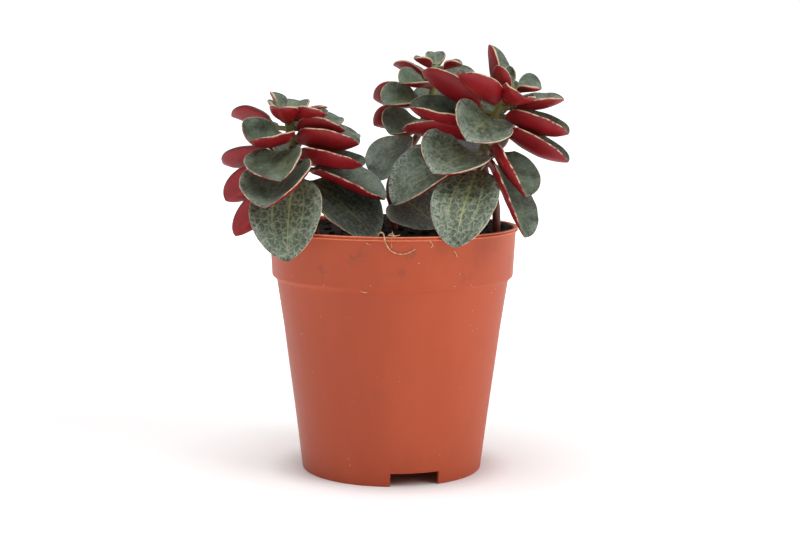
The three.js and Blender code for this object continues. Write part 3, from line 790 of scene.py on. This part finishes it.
class Leaf:
    """A leaf's shape, worked out from its row as rings of corners from its stem to its tip."""

    def __init__(self, side, row, seed):
        height, heading, rise, roll, self.length, self.width, fold, arch, self.petiole, self.own = row
        self.seed = seed
        self.widest = self.own.get("widest", 0.5)
        self.lean = self.own.get("lean", 0)
        self.along, self.up, self.across = leaf_frame(heading, rise, roll)
        self.set_rings(stem_point(side, height), math.radians(heading), math.radians(fold), arch)
        self.set_corners()

    def set_rings(self, middle, heading, fold, arch):
        """The petiole's rings from the stem out, then the blade's."""
        outward = level_direction(heading)
        foot = middle + outward * (STEM_RADIUS + FOOT_GAP)
        lead = unit(PETIOLE_ALONG * self.along + (1 - PETIOLE_ALONG) * outward)
        start = foot + self.petiole * lead
        self.root = middle + outward * STEM_RADIUS / 2
        self.tip = start + self.along * self.length

        out = np.linspace(0, 1, PETIOLE_RINGS, endpoint=False)
        t = (1 - np.cos(np.linspace(FIRST_RING, LAST_RING, BLADE_RINGS))) / 2
        self.t = np.append(np.zeros(PETIOLE_RINGS), t)
        self.stalk = np.append(1 - out, np.zeros(BLADE_RINGS))
        self.centres = np.vstack([
            self.root + np.outer(out, start - self.root),
            start + np.outer(t, self.along) * self.length + np.outer(arch * 4 * t * (1 - t), self.up),
        ])

        blade_half = self.width / 2 * outline(self.t, self.widest)
        petiole_half = PETIOLE_RADIUS * (1 + PETIOLE_FLARE * self.stalk ** 3)
        self.half = np.sqrt(petiole_half ** 2 * (1 - self.t) ** 0.6 + blade_half ** 2)
        self.bladeness = np.clip(blade_half / (0.4 * self.width), 0, 1)[:, None]
        opening = PETIOLE_FOLD + (1 - PETIOLE_FOLD) * np.clip(self.t / FOLD_START, 0, 1)
        self.bend = fold * opening * (1 - TIP_FOLD_LOSS * self.t)
        thinner = (BLADE_THICKNESS - PETIOLE_THICKNESS) * np.clip(self.t * 6, 0, 1)
        self.thickness = (PETIOLE_THICKNESS + thinner) * np.clip((1 - self.t) * 5, 0, 1) ** 0.5

    def set_corners(self):
        """The corners go once round the section, over the upper face and back under the lower one."""
        half_step = math.pi / LEAF_CORNERS
        self.angle = np.linspace(0, 2 * math.pi, LEAF_CORNERS, endpoint=False) + half_step
        self.sign = np.sign(np.cos(self.angle))
        self.share = np.abs(np.cos(self.angle))
        self.reach = self.share * self.half[:, None] * (1 + self.lean * self.sign)
        place = np.where(self.t > 0, self.t * self.length, -self.stalk * self.petiole)
        self.x = place[:, None] * np.ones_like(self.reach)
        self.y = self.reach * self.sign

    def depth(self):
        """Half the thickness at each corner: full in the middle and rounded off to a thin margin."""
        power = 2 + 2.5 * self.bladeness
        cover = (1 - self.share ** power) ** (1 / power)
        margin = MARGIN_THICKNESS * self.bladeness * np.abs(np.sin(self.angle))
        return np.maximum(self.thickness[:, None] * cover, margin) / 2

    def swell(self):
        """The blade's gentle unevenness, and the waviness of its margin."""
        uneven = SWELL * ripple(self.x, self.y, self.seed, SWELL_LENGTH) * self.bladeness
        wave = ripple(self.x, 0 * self.y + self.sign * 7, self.seed + 500, EDGE_WAVE_LENGTH)
        height = EDGE_WAVE + self.own.get("wave", 0)
        return uneven + height * wave * self.bladeness * self.share ** 3

    def points(self):
        """Every corner of every ring, then the point inside the stem and the one at the tip."""
        crease = self.share / (self.share + CREASE_WIDTH)
        turn = self.bend[:, None] * ((RIB_FOLD + MARGIN_FOLD * self.share ** 2) * crease)
        upper = np.sign(np.sin(self.angle))
        normal = self.up * np.cos(turn)[..., None] - self.across * (np.sin(turn) * self.sign)[..., None]
        sheet = (self.centres[:, None, :] + self.across * (self.y * np.cos(turn))[..., None]
                 + self.up * (self.reach * np.sin(turn))[..., None])
        points = sheet + normal * (self.swell() + self.depth() * upper)[..., None]
        return np.vstack([points.reshape(-1, 3), self.root, self.tip])

    def edge_distance(self):
        """The distance to the margin in the leaf's plane, measured to points along the outline."""
        t = np.linspace(0, 1, OUTLINE_SAMPLES)
        half = self.width / 2 * outline(t, self.widest)
        edge_x = np.concatenate([t * self.length] * 2)
        edge_y = np.concatenate([half * (1 + self.lean), -half * (1 - self.lean)])
        gap = np.hypot(self.x.reshape(-1, 1) - edge_x, self.y.reshape(-1, 1) - edge_y).min(axis=1)
        return np.where(self.x.ravel() < 0, PETIOLE_EDGE, gap)

    def numbers(self):
        """What the materials read at each point: its place in the leaf, and the leaf's looks."""
        corner = self.seed * np.array(PATTERN_STEP)
        flat = np.zeros(self.x.size)
        place = np.stack([self.x.ravel(), self.y.ravel(), flat], 1)
        ends = [(-self.petiole, 0, 0), (self.length, 0, 0)]
        nerve = (self.share - NERVE_PLACE) * self.half[:, None]
        along = np.where(self.t > 0, self.t, -0.1 * self.stalk)[:, None] + 0 * self.y
        numbers = {
            "leaf_place": np.vstack([place, ends]) + corner,
            "edge": np.append(self.edge_distance(), (PETIOLE_EDGE, 0)),
            "side_mm": np.append(self.y.ravel(), (0, 0)),
            "nerve_mm": np.append(nerve.ravel(), (1, 1)),
            "along": np.append(along.ravel(), (-0.1, 1)),
        }
        for key, usual in USUAL_LOOKS.items():
            numbers[key] = np.full(self.x.size + len(ends), self.own.get(key, usual))
        return numbers


def build_leaf(name, side, row, seed, materials, replaced=None):
    leaf = Leaf(side, row, seed)
    rings = len(leaf.t)
    below = [corner >= LEAF_CORNERS // 2 for corner in range(LEAF_CORNERS)]
    face_materials = below * (rings - 1) + [under for under in below for _ in range(2)]
    faces = capped_faces(rings, LEAF_CORNERS)
    add_piece(name, leaf.points(), faces, materials, replaced, face_materials, leaf.numbers())


def build_plant():
    skin = stem_skin()
    leaf_materials = [leaf_upper(), leaf_under()]
    seed = 1
    for side, rows in LEAVES.items():
        build_stem(side, skin)
        for index, row in enumerate(rows, 1):
            node = f"{side}_leaf_{index:02d}"
            build_leaf(f"{node}_blade", side, row, seed, leaf_materials, node)
            seed += 1
        for index, row in enumerate(BUD_LEAVES[side], 1):
            build_leaf(f"{side}_bud_{index}", side, row, seed, leaf_materials)
            seed += 1


# Pot

def outer_radius(z):
    """The radius of the body and collar's outside at a height, below the lip."""
    collar = RIM_RADIUS - LIP_WIDTH - COLLAR_DRAFT
    if z >= STEP_HEIGHT:
        return np.interp(z, (STEP_HEIGHT, POT_HEIGHT), (collar, RIM_RADIUS - LIP_WIDTH))
    return np.interp(z, (0, STEP_HEIGHT), (FOOT_RADIUS, collar - WALL))


def rounded(corners, radius, steps=4):
    """An open section with each corner rounded by an arc-like curve of about that radius."""
    made = []
    for before, corner, after in zip(corners[:-2], corners[1:-1], corners[2:]):
        before, corner, after = (np.array(point, float) for point in (before, corner, after))
        reach = min(radius, 0.45 * np.linalg.norm(before - corner), 0.45 * np.linalg.norm(after - corner))
        start = corner + unit(before - corner) * reach
        end = corner + unit(after - corner) * reach
        for t in np.linspace(0, 1, steps):
            made.append((1 - t) ** 2 * start + 2 * t * (1 - t) * corner + t ** 2 * end)
    return [corners[0], *made, corners[-1]]


def pot_profile():
    """The pot's section: under the floor, up the outside, over the lip, and down to the floor's top."""
    floor_top = FLOOR_HEIGHT + FLOOR_THICKNESS
    ring_inside = FOOT_RADIUS - FOOT_RING_WIDTH
    body_top = STEP_HEIGHT - STEP_SLOPE
    collar = outer_radius(STEP_HEIGHT)
    under_collar = outer_radius(STEP_HEIGHT - 2)
    corners = [
        (AXIS_GAP, FLOOR_HEIGHT),
        (ring_inside, FLOOR_HEIGHT),
        (ring_inside, 0),
        (FOOT_RADIUS, 0),
        *[(under_collar * k + FOOT_RADIUS * (1 - k) - hollow,
           FOOT_CHAMFER + (body_top - FOOT_CHAMFER) * k) for k, hollow in BODY_HOLLOW.items()],
        (collar - WALL - max(BODY_HOLLOW.values()), body_top),
        (collar, STEP_HEIGHT),
        (outer_radius(LIP_FOOT) - UNDER_LIP, LIP_FOOT - UNDER_LIP),
        (RIM_RADIUS, LIP_FOOT),
        *[(RIM_RADIUS - depth, LIP_FOOT + height) for height, depth in LIP_GROOVE],
        (RIM_RADIUS, POT_HEIGHT),
        (RIM_RADIUS - WALL, POT_HEIGHT),
        (outer_radius(LIP_FOOT) - WALL, LIP_FOOT),
        (collar - WALL, STEP_HEIGHT + INSIDE_STEP_ABOVE),
        (collar - 2 * WALL - INSIDE_STEP_THINNER, STEP_HEIGHT - INSIDE_STEP_BELOW),
        (outer_radius(floor_top) - WALL, floor_top),
        (AXIS_GAP, floor_top),
    ]
    return rounded(corners, CORNER_ROUNDING)


def cutter(name, build):
    """A hidden solid for a boolean cut, made by a bmesh call."""
    mesh = bpy.data.meshes.new(name)
    shape = bmesh.new()
    build(shape)
    shape.to_mesh(mesh)
    shape.free()
    return new_object(name, mesh)


def notch_cutter(heading):
    size = Matrix.Diagonal((NOTCH_DEPTH * MM, NOTCH_WIDTH * MM, 2 * NOTCH_HEIGHT * MM, 1))
    turn = Matrix.Rotation(math.radians(heading), 4, "Z")
    matrix = turn @ Matrix.Translation((FOOT_RADIUS * MM, 0, 0)) @ size
    return cutter("notch", lambda shape: bmesh.ops.create_cube(shape, size=1, matrix=matrix))


def drain_cutter(index):
    turn = Matrix.Rotation(index * 2 * math.pi / DRAIN_COUNT, 4, "Z")
    matrix = turn @ Matrix.Translation((DRAIN_RING_RADIUS * MM, 0, FLOOR_HEIGHT * MM))
    return cutter("drain", lambda shape: bmesh.ops.create_cone(
        shape, cap_ends=True, segments=DRAIN_SIDES, radius1=DRAIN_RADIUS * MM,
        radius2=DRAIN_RADIUS * MM, depth=DRAIN_DEPTH * MM, matrix=matrix))


def cut(piece, cutters):
    """Cuts the solids out of the piece and bakes the result into its mesh."""
    for tool in cutters:
        modifier = piece.modifiers.new("cut", "BOOLEAN")
        modifier.operation = "DIFFERENCE"
        modifier.object = tool
    bevel = piece.modifiers.new("soft_edges", "BEVEL")
    bevel.width = EDGE_BEVEL * MM
    bevel.segments = 2
    bevel.limit_method = "ANGLE"
    bevel.angle_limit = math.radians(BEVEL_ANGLE)
    evaluated = piece.evaluated_get(bpy.context.evaluated_depsgraph_get())
    mesh = bpy.data.meshes.new_from_object(evaluated)
    piece.modifiers.clear()
    piece.data = mesh
    for tool in cutters:
        bpy.data.objects.remove(tool)


def build_pot():
    profile = pot_profile()
    points = revolve(profile, POT_SEGMENTS)
    ends = [(0, 0, profile[0][1]), (0, 0, profile[-1][1])]
    points = np.vstack([points, ends])
    pot = add_piece("pot_body", points, capped_faces(len(profile), POT_SEGMENTS), [pot_plastic()],
                    "pot")
    notches = [notch_cutter(heading) for heading in NOTCH_HEADINGS]
    drains = [drain_cutter(index) for index in range(DRAIN_COUNT)]
    cut(pot, notches + drains)
    mesh = pot.data
    height = mesh.attributes.new("height_mm", "FLOAT", "POINT")
    for index, vertex in enumerate(mesh.vertices):
        height.data[index].value = vertex.co.z / MM
    mesh.shade_smooth()
    mesh.set_sharp_from_angle(angle=math.radians(SHARP_ANGLE))


# Soil

def share_between(value, start, end):
    """0 up to the start, 1 from the end on, and in proportion between them."""
    return max(0, min(1, (value - start) / (end - start)))


def soil_height(x, y):
    """The bumpy top of the soil, dished in the middle and heaped against the back of the pot."""
    r = math.hypot(x, y)
    dish = SOIL_DISH * (1 - min(r / DISH_REACH, 1) ** 2)
    backwards = share_between(y + HEAP_TURN * x, HEAP_START, HEAP_END)
    heap = HEAP_HEIGHT * backwards * share_between(r, HEAP_INNER_RADIUS, HEAP_OUTER_RADIUS)
    lumps = noise.fractal(Vector((x * LUMP_PACE, y * LUMP_PACE, 3)), 0.8, 2.1, 5)
    return SOIL_HEIGHT - dish + heap + LUMP_HEIGHT * lumps


def build_soil(material):
    """The plug of soil: rings across its top from the middle out, and its wall down to the floor."""
    inside = outer_radius(SOIL_HEIGHT) - WALL - SOIL_GAP
    bottom = FLOOR_HEIGHT + FLOOR_THICKNESS + SOIL_GAP
    wall_gap = WALL + 2 * SOIL_GAP
    top = [(inside * k, SOIL_HEIGHT) for k in np.linspace(0.015, 1, SOIL_RINGS)]
    above = STEP_HEIGHT + SOIL_STEP_ABOVE
    wall = [(outer_radius(above) - wall_gap, above),
            (outer_radius(STEP_HEIGHT) - 2 * WALL - SOIL_STEP_GAP, STEP_HEIGHT - SOIL_STEP_BELOW),
            (outer_radius(bottom) - wall_gap, bottom),
            (0.5, bottom)]
    profile = top + wall
    points = revolve(profile, SOIL_SEGMENTS)
    for point in points[:len(top) * SOIL_SEGMENTS]:
        point[2] = soil_height(point[0], point[1])
    points = np.vstack([points, (0, 0, soil_height(0, 0)), (0, 0, bottom)])
    faces = [face[::-1] for face in capped_faces(len(profile), SOIL_SEGMENTS)]
    add_piece("soil_fill", points, faces, [material], "soil")


def build_crumbs(material):
    """Loose crumbs of peat on the soil, joined in one piece."""
    draw = random.Random(CRUMB_SEED)
    shape = bmesh.new()
    bmesh.ops.create_icosphere(shape, subdivisions=2, radius=1)
    ball = np.array([vertex.co for vertex in shape.verts])
    ball_faces = [[vertex.index for vertex in face.verts] for face in shape.faces]
    shape.free()
    vertices, faces = [], []
    for index in range(CRUMB_COUNT):
        r = (outer_radius(SOIL_HEIGHT) - WALL - CRUMB_WALL_GAP) * math.sqrt(draw.random())
        turn = draw.uniform(0, 2 * math.pi)
        x, y = r * math.cos(turn), r * math.sin(turn)
        size = draw.choice(CRUMB_SIZES)
        stretch = np.array([draw.uniform(0.7, 1.5), draw.uniform(0.6, 1.1), draw.uniform(0.5, 0.9)])
        offset = Vector((index * 3.7, 0, 0))
        bumps = np.array([1 + CRUMB_BUMPS * noise.noise(Vector(p) * 1.6 + offset) for p in ball])
        turned = np.array(Matrix.Rotation(draw.uniform(0, math.pi), 3, "Z"))
        crumb = (ball * bumps[:, None] * stretch * size) @ turned.T
        base = len(vertices) * len(ball)
        vertices.append(crumb + (x, y, soil_height(x, y) + CRUMB_LIFT * size))
        faces += [[base + corner for corner in face] for face in ball_faces]
    add_piece("soil_crumbs", np.vstack(vertices), faces, [material])


# Loose fibres and roots

def on_collar(heading, z, lift):
    """A point that stands a little off the outside of the pot, or inside it where the lift is below 0."""
    radius = (RIM_RADIUS if z > LIP_FOOT - 0.3 else outer_radius(min(z, POT_HEIGHT))) + lift
    turn = math.radians(heading)
    return (radius * math.cos(turn), radius * math.sin(turn), z)


def build_fibres(material):
    for name, (radius, places) in FIBRES.items():
        path = smooth_line([on_collar(*place) for place in places], FIBRE_RINGS)
        radii = radius * (1 - FIBRE_TAPER * np.linspace(0, 1, FIBRE_RINGS))
        faces = capped_faces(FIBRE_RINGS, FIBRE_CORNERS)
        add_piece(name, tube(path, radii, FIBRE_CORNERS), faces, [material])


# Room, lights and camera

def build_floor():
    mesh = bpy.data.meshes.new("floor")
    signs = ((-1, -1), (1, -1), (1, 1), (-1, 1))
    corners = [(x * FLOOR_REACH, y * FLOOR_REACH, 0) for x, y in signs]
    mesh.from_pydata(corners, [], [(0, 1, 2, 3)])
    mesh.materials.append(white_floor())
    new_object("floor", mesh)


def add_light(name, place, size, power):
    """A square soft light aimed at the top of the pot."""
    lamp = bpy.data.lights.new(name, "AREA")
    lamp.size = size
    lamp.energy = power
    light = new_object(name, lamp)
    light.location = place
    aim = Vector(LIGHTS_AIM) - Vector(place)
    light.rotation_euler = aim.to_track_quat("-Z", "Y").to_euler()


def build_world():
    """A white surround, seen as pure white, which lights the plant mostly from behind it."""
    world = bpy.data.worlds.new("studio")
    world.use_nodes = True
    nodes, links = world.node_tree.nodes, world.node_tree.links
    direction = nodes.new("ShaderNodeSeparateXYZ")
    links.new(nodes.new("ShaderNodeTexCoord").outputs["Generated"], direction.inputs[0])
    light = nodes.new("ShaderNodeMapRange")
    spans = {"From Min": SURROUND_TURN_START, "From Max": SURROUND_TURN_END,
             "To Min": SURROUND_BEFORE, "To Max": SURROUND_BEHIND}
    for name, value in spans.items():
        light.inputs[name].default_value = value
    links.new(direction.outputs["Y"], light.inputs["Value"])
    strength = nodes.new("ShaderNodeMix")
    strength.inputs["B"].default_value = SURROUND_SEEN
    links.new(nodes.new("ShaderNodeLightPath").outputs["Is Camera Ray"], strength.inputs["Factor"])
    links.new(light.outputs["Result"], strength.inputs["A"])
    background = nodes["Background"]
    background.inputs["Color"].default_value = (1, 1, 1, 1)
    links.new(strength.outputs["Result"], background.inputs["Strength"])
    bpy.context.scene.world = world


def build_lights():
    for name, (place, size, power) in LIGHTS.items():
        add_light(name, place, size, power)


def build_camera():
    data = bpy.data.cameras.new("camera")
    data.sensor_width = SENSOR_WIDTH
    data.lens = FOCAL_PIXELS * SENSOR_WIDTH / IMAGE_WIDTH
    data.clip_start = NEAREST_SEEN * MM
    camera = new_object("camera", data)
    tilt = Matrix.Rotation(math.radians(90 - CAMERA_PITCH), 4, "X")
    roll = Matrix.Rotation(math.radians(CAMERA_ROLL), 4, "Z")
    camera.matrix_world = Matrix.Translation(Vector(CAMERA_PLACE) * MM) @ tilt @ roll
    bpy.context.scene.camera = camera


bpy.context.scene.view_settings.view_transform = "Standard"
build_camera()
build_world()
build_lights()
build_floor()
build_plant()
build_pot()
peat = peat_soil()
build_soil(peat)
build_crumbs(peat)
build_fibres(dry_fibre())

bpy.context.view_layer.update()
